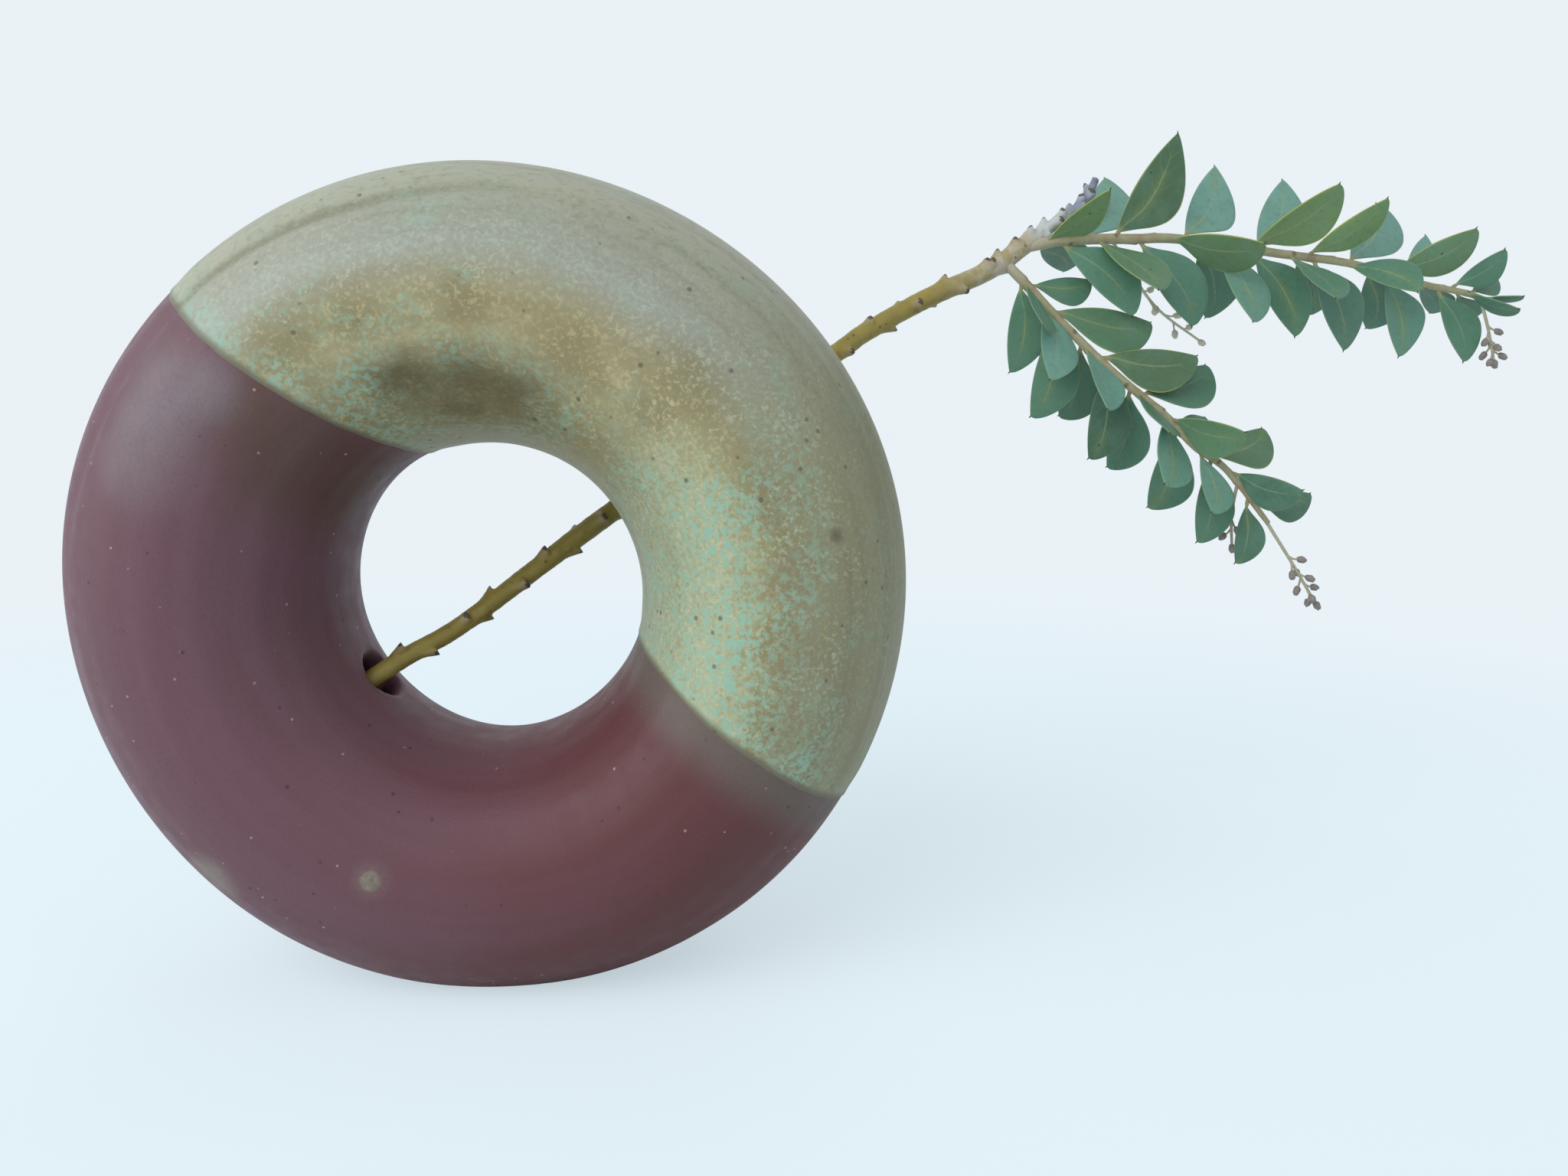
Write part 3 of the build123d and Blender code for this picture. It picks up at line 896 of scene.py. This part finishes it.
def glaze_material():
    look = Look("mottled_glaze")
    place = look.place()
    other = shifted(place, 0.31)
    line = look.value("line")
    right = look.value("right")
    patch = noise(place, 60, 3, 0.6)
    drift = times(calculate("SUBTRACT", patch, 0.5), 0.1)
    plain_zone = look.value("zone")
    zone = calculate("ADD", plain_zone, drift)
    # The dark stop at 0.72 is mainly painted shade where the inner wall faces down at the top, partly the
    # glaze's own brown
    upper = ramp(zone, [
        (0.1, (0.345, 0.352, 0.265)), (0.22, (0.362, 0.368, 0.275)), (0.31, (0.305, 0.315, 0.25)),
        (0.4, (0.3, 0.322, 0.268)), (0.46, (0.29, 0.278, 0.182)), (0.52, (0.29, 0.255, 0.132)),
        (0.58, (0.33, 0.3, 0.165)), (0.64, (0.3, 0.278, 0.15)), (0.72, (0.205, 0.182, 0.082)),
        (0.82, (0.255, 0.24, 0.13)), (1.0, (0.29, 0.29, 0.195)),
    ])
    flank = ramp(zone, [
        (0.1, (0.23, 0.222, 0.128)), (0.22, (0.24, 0.232, 0.128)), (0.33, (0.24, 0.23, 0.118)),
        (0.41, (0.25, 0.24, 0.12)), (0.48, (0.25, 0.225, 0.102)), (0.54, (0.345, 0.34, 0.185)),
        (0.6, (0.365, 0.39, 0.235)), (0.72, (0.33, 0.36, 0.222)), (0.85, (0.305, 0.33, 0.22)),
        (1.0, (0.3, 0.335, 0.255)),
    ])
    look.colour = mix(right, upper, flank)
    look.paint(span(look.streaks(9.0, 1.2), 0.46, 0.74), (0.19, 0.18, 0.095), 0.42)
    rim = span(plain_zone, 0.38, 0.26)
    mottle = span(noise(other, 640, 4, 0.65), 0.48, 0.68, 0.0, 0.42)
    look.paint(times(mottle, rim), (0.165, 0.155, 0.09))
    drip = times(span(look.streaks(8.0, 0.9), 0.46, 0.7, 0.0, 0.42), right, span(zone, 0.52, 0.38))
    look.paint(drip, (0.15, 0.138, 0.068))
    look.paint(span(look.streaks(13.0, 2.0), 0.52, 0.78), (0.4, 0.43, 0.33), 0.22)
    hollow = times(span(look.value("groove"), 0.085, 0.015), span(look.value("deep"), -0.1, -0.4))
    look.paint(times(hollow, span(look.value("sideways"), 0.35, -0.3, 0.0, 0.75)), (0.175, 0.168, 0.1))
    warp = noise(place, 110, 3, 0.6)
    warped = shifted(place, times(calculate("SUBTRACT", warp, 0.5), 0.011))
    brown = times(near_any(warped, BROWN_PATCHES), span(patch, 0.3, 0.55, 0.35, 0.88))
    look.paint(brown, (0.215, 0.188, 0.09))
    # Dark patches: mainly painted shade on the downward-facing inner top, partly darker glaze; flecks are
    # held back there
    dark = times(near_any(warped, PAINTED_SHADE_PATCHES), span(patch, 0.3, 0.55, 0.62, 0.92))
    look.paint(dark, (0.118, 0.098, 0.04))
    flecked = span(plain_zone, 0.26, 0.36, 0.5, 1.0)
    plain = calculate("SUBTRACT", 1.0, times(dark, 0.85))
    fleck = noise(place, 1250, 3, 0.6, 0.5)
    speckle = noise(other, 850, 3, 0.6, 0.5)
    blotch = noise(other, 150, 2, 0.6)
    warm = span(plain_zone, 0.42, 0.52)
    pale = times(span(fleck, 0.46, 0.7), flecked, plain, span(blotch, 0.3, 0.62, 0.35, 0.8))
    cream = mix(right, (0.48, 0.405, 0.215), (0.54, 0.515, 0.335))
    look.paint(pale, mix(warm, (0.42, 0.45, 0.37), cream), 0.85)
    rust = times(span(fleck, 0.52, 0.3), flecked, plain, span(blotch, 0.62, 0.4, 0.25, 0.65))
    look.paint(rust, mix(warm, (0.265, 0.255, 0.22), (0.265, 0.22, 0.105)))
    pool = near_any(place, TURQUOISE_POOLS)
    share = calculate("ADD", span(noise(other, 85, 2), 0.44, 0.68, 0.0, 0.45), times(pool, 0.6), clamp=True)
    inner_right = times(right, span(plain_zone, 0.48, 0.6), 0.35)
    share = calculate("ADD", share, inner_right, clamp=True)
    green = times(span(speckle, 0.42, 0.62), share, flecked, plain)
    look.paint(green, (0.245, 0.445, 0.34))
    rim_pool = times(span(line, 0.009, 0.0015), span(speckle, 0.42, 0.6), flecked)
    look.paint(rim_pool, (0.27, 0.415, 0.315), 0.45)
    look.paint(span(line, 0.0022, 0.0009), (0.125, 0.105, 0.065), 0.85)
    iron = times(span(spots(other, 240), 0.14, 0.06),
                 span(calculate("ADD", noise(place, 140, 1), times(right, 0.15)), 0.5, 0.57))
    look.paint(iron, (0.085, 0.07, 0.045), 0.72)
    look.paint(near_place(place, GLAZE_SPOT, 2.0), (0.1, 0.085, 0.05), 0.75)
    roughness = span(fleck, 0.35, 0.65, 0.42, 0.54)
    normal = bump(noise(place, 1500, 3, 0.65), 0.00004, 0.5)
    normal = bump(fleck, 0.00008, 0.5, normal)
    return look.finish(roughness, normal, specular=0.45)


def stem_material():
    look = Look("olive_stem")
    place = look.place()
    look.colour = mix(noise(place, 180, 4, 0.6), (0.19, 0.15, 0.03), (0.37, 0.29, 0.065))
    look.paint(span(noise(place, 420, 3), 0.57, 0.75), (0.155, 0.085, 0.028), 0.5)
    pale = times(span(look.value("along"), 0.86, 0.96), span(noise(place, 350, 3), 0.35, 0.6, 0.35, 1.0))
    look.paint(pale, (0.44, 0.4, 0.3))
    look.paint(span(look.value("flank"), 0.15, 0.75), (0.33, 0.265, 0.165), 0.7)
    look.paint(span(look.value("scar"), 0.25, 0.7), (0.065, 0.042, 0.032), 0.92)
    look.paint(specks(place, 420, (0.1, 0.18), 300, (0.52, 0.6)), (0.08, 0.048, 0.026), 0.75)
    normal = bump(noise(place, 900, 4, 0.7), 0.00012, 0.8)
    return look.finish(span(noise(place, 500, 2), 0.3, 0.7, 0.42, 0.62), normal)


def dead_tip_material():
    look = Look("dry_grey_twig")
    place = look.place()
    along = look.value("along")
    patch = noise(place, 420, 4, 0.65)
    look.colour = mix(span(along, 0.45, 0.62), mix(patch, (0.34, 0.38, 0.36), (0.66, 0.7, 0.68)),
                      mix(patch, (0.085, 0.105, 0.155), (0.36, 0.41, 0.5)))
    look.paint(span(along, 0.22, 0.02), (0.44, 0.39, 0.28))
    look.paint(span(look.value("flank"), 0.3, 0.8), (0.5, 0.52, 0.52), 0.5)
    look.paint(span(look.value("scar"), 0.4, 0.85), (0.085, 0.07, 0.075), 0.9)
    return look.finish(0.8, bump(noise(place, 800, 4, 0.7), 0.0002, 0.9))


def shoot_material():
    look = Look("young_shoot_bark")
    place = look.place()
    look.colour = mix(noise(place, 350, 4, 0.6), (0.215, 0.205, 0.11), (0.4, 0.385, 0.235))
    look.paint(span(noise(place, 160, 2), 0.54, 0.7), (0.245, 0.145, 0.08), 0.55)
    look.paint(span(look.value("along"), 0.1, 0.0), (0.44, 0.4, 0.3))
    look.paint(span(look.value("scar"), 0.3, 0.8), (0.11, 0.075, 0.045), 0.7)
    return look.finish(0.6, bump(noise(place, 1100, 3, 0.7), 0.00008, 0.7))


def leaf_material():
    look = Look("blue_green_leaf")
    place = look.place()
    along = look.value("leaf_x")
    from_rib = calculate("ABSOLUTE", look.value("leaf_y"))
    olive = look.value("olive")
    look.colour = mix(look.value("tone"), (0.058, 0.16, 0.1), (0.088, 0.225, 0.15))
    look.paint(olive, (0.128, 0.205, 0.072))
    look.paint(look.value("blue"), (0.165, 0.345, 0.285))
    # Scaled by each leaf's shade factor, which is partly painted light and shade
    look.colour = vector_math("SCALE", look.colour, {"Scale": look.value("shade")})
    bloom = span(noise(place, 170, 4, 0.6), 0.4, 0.72)
    look.paint(bloom, (0.135, 0.26, 0.195), 0.32)
    yellow = times(span(from_rib, 0.1, 0.0), span(noise(place, 90, 2), 0.45, 0.65))
    look.paint(yellow, (0.19, 0.255, 0.085), 0.35)
    wander = times(noise(place, 160, 2), 2.2)
    branch = calculate("SUBTRACT", along, times(from_rib, 1.4))
    wave = calculate("ABSOLUTE", calculate("SINE", calculate("ADD", times(branch, 19.0), wander)))
    veins = times(span(wave, 0.17, 0.02), span(from_rib, 0.22, 0.02))
    look.paint(veins, (0.26, 0.36, 0.23), 0.22)
    midrib = times(span(from_rib, 0.014, 0.005), span(along, 0.95, 0.55))
    look.paint(midrib, (0.31, 0.385, 0.235), 0.36)
    look.paint(span(noise(place, 900, 3, 0.6), 0.5, 0.72), (0.048, 0.115, 0.07), 0.25)
    edge = times(span(look.value("margin"), 0.93, 0.995), span(olive, 0.0, 0.8, 0.45, 0.95))
    look.paint(edge, mix(olive, (0.26, 0.35, 0.2), (0.38, 0.4, 0.06)))
    look.paint(specks(place, 260, (0.06, 0.11), 120, (0.56, 0.63)), (0.04, 0.05, 0.03), 0.7)
    look.paint(span(along, 0.07, -0.02), (0.27, 0.29, 0.14))
    look.paint(look.value("point"), (0.045, 0.026, 0.022))
    normal = bump(noise(place, 900, 3, 0.6), 0.00005, 0.5)
    normal = bump(veins, 0.00006, 0.5, normal)
    return look.finish(span(bloom, 0.0, 1.0, 0.44, 0.58), normal, specular=0.35)


def bud_material():
    look = Look("grey_mauve_buds")
    place = look.place()
    grain = noise(place, 1600, 3, 0.7)
    heads = mix(grain, (0.15, 0.125, 0.115), (0.37, 0.33, 0.3))
    stalks = mix(noise(place, 400, 2), (0.34, 0.33, 0.22), (0.5, 0.47, 0.36))
    look.colour = mix(look.value("bud"), stalks, heads)
    # Painted light: the back spray is painted pale against the shade behind the leaves
    look.paint(look.value("painted_light"), mix(grain, (0.62, 0.55, 0.42), (0.74, 0.68, 0.55)))
    return look.finish(0.75, bump(grain, 0.0002, 0.9))


# Pieces

build_ring(clay_material())
build_glaze(glaze_material())

stem_length = smooth_route(STEM_ROUTE, MM)[3][-1]
fork_scars = [(stem_length - back * MM, turn * DEGREE) for back, turn in FORK_SCARS]
dead_tip_scars = [(distance * MM, turn * DEGREE) for distance, turn in DEAD_TIP_SCARS]
round_stem("main_stem", STEM_ROUTE, stem_material(), 0.35 * MM, 32,
           spiral_scars(STEM_ROUTE, FIRST_SCAR, SCAR_SPACING, 0.9) + fork_scars, 1.15 * MM, 0.03 * MM)
round_stem("dead_tip", DEAD_TIP_ROUTE, dead_tip_material(), 0.3 * MM, 28,
           dead_tip_scars, 1.3 * MM, 0.09 * MM)
bark = shoot_material()
for shoot, route, height in (("upper", UPPER_SHOOT_ROUTE, 0.22), ("lower", LOWER_SHOOT_ROUTE, 0.2)):
    round_stem(f"{shoot}_shoot", route, bark, 0.4 * MM, 20,
               spiral_scars(route, 6 * MM, 5.5 * MM, 0.8), height * MM, 0.02 * MM)

leaf_look = leaf_material()
for shoot, route, rows in (("upper", UPPER_SHOOT_ROUTE, UPPER_LEAVES),
                           ("lower", LOWER_SHOOT_ROUTE, LOWER_LEAVES)):
    for number, row in enumerate(rows, start=1):
        build_leaves(f"{shoot}_leaf_{number:02d}", route, [row], leaf_look)
build_leaves("upper_tip_leaves", UPPER_SHOOT_ROUTE, UPPER_TIP_LEAVES, leaf_look)
build_leaves("lower_tip_leaves", LOWER_SHOOT_ROUTE, LOWER_TIP_LEAVES, leaf_look)
bud_look = bud_material()
for node, (stalk, count) in BUD_SPRAYS.items():
    bud_spray(node, stalk, count, bud_look)


# Stage, light and camera

def pale_floor():
    floor_mesh = bpy.data.meshes.new("pale_floor")
    floor_mesh.from_pydata([(-6, -6, 0), (6, -6, 0), (6, 6, 0), (-6, 6, 0)], [], [(0, 1, 2, 3)])
    floor = new_object("pale_floor", floor_mesh)
    look = Look("pale_floor")
    look.colour = FLOOR_COLOUR
    look.finish(0.9)
    away = vector_math("LENGTH", look.place(), {}, "Value")
    camera_ray = add_node(look.tree, "LightPath").outputs["Is Camera Ray"]
    shown = times(span(away, 0.12, 0.55, FLOOR_GLOW, 1.0), camera_ray)
    glow_colour = mix(span(away, 0.15, 0.6), FLOOR_NEAR, BACKGROUND)
    glow = add_node(look.tree, "Emission", {"Color": glow_colour, "Strength": 1.0})
    shaders = {0: shown, 1: look.shader.outputs[0], 2: glow.outputs[0]}
    both = add_node(look.tree, "MixShader", shaders)
    connect(look.tree.nodes["Material Output"].inputs["Surface"], both.outputs[0])
    floor_mesh.materials.append(look.holder)


def sky():
    """Soft light from all round; camera, glossy and transmission rays see the plain background."""
    look = Look("soft_sky", bpy.data.worlds)
    bpy.context.scene.world = look.holder
    shown = look.tree.nodes["Background"]
    connect(shown.inputs["Color"], BACKGROUND)
    lighting = add_node(look.tree, "Background", {"Color": SKY_COLOUR, "Strength": SKY_STRENGTH})
    path = add_node(look.tree, "LightPath").outputs
    seen = calculate("MAXIMUM", path["Is Camera Ray"], path["Is Glossy Ray"])
    seen = calculate("MAXIMUM", seen, path["Is Transmission Ray"])
    shaders = {0: seen, 1: lighting.outputs[0], 2: shown.outputs[0]}
    both = add_node(look.tree, "MixShader", shaders)
    connect(look.tree.nodes["World Output"].inputs["Surface"], both.outputs[0])


def soft_lamp(name, place, target, size, power, colour, mirrored):
    lamp = bpy.data.lights.new(name, "AREA")
    lamp.size = size
    lamp.energy = power
    lamp.color = colour
    lamp_object = new_object(name, lamp)
    lamp_object.location = place
    lamp_object.rotation_euler = (Vector(target) - Vector(place)).to_track_quat("-Z", "Y").to_euler()
    lamp_object.visible_glossy = mirrored


def photo_camera():
    camera = bpy.data.cameras.new("photo_camera")
    camera.sensor_width = 36
    camera.lens = CAMERA_LENS
    camera.clip_start = 0.005
    level = math.cos(CAMERA_PITCH)
    forward = Vector((math.sin(CAMERA_YAW) * level, math.cos(CAMERA_YAW) * level, math.sin(CAMERA_PITCH)))
    level_right = Vector((math.cos(CAMERA_YAW), -math.sin(CAMERA_YAW), 0))
    right = turned(level_right, level_right.cross(forward), CAMERA_ROLL)
    up = right.cross(forward)
    camera_object = new_object("photo_camera", camera)
    facing = Matrix((right, up, -forward)).transposed().to_4x4()
    camera_object.matrix_world = Matrix.Translation(CAMERA_PLACE) @ facing
    bpy.context.scene.camera = camera_object


pale_floor()
sky()
soft_lamp("front_window", (-0.45, -0.75, 0.75), (0.03, 0, 0.07), 0.9, 6.4, (1.0, 0.98, 0.95), False)
soft_lamp("left_window", (-0.9, -0.45, 0.55), (0.0, 0, 0.07), 0.9, 4.6, (0.95, 0.97, 1.0), True)
soft_lamp("back_fill", (0.25, 0.95, 0.65), (0.05, 0.02, 0.08), 0.9, 2.2, (0.97, 0.98, 1.0), False)
soft_lamp("fill", (0.8, -0.3, 0.6), (0.05, 0, 0.07), 0.8, 0.9, (0.95, 0.98, 1.0), True)
photo_camera()
bpy.context.scene.view_settings.view_transform = "Standard"
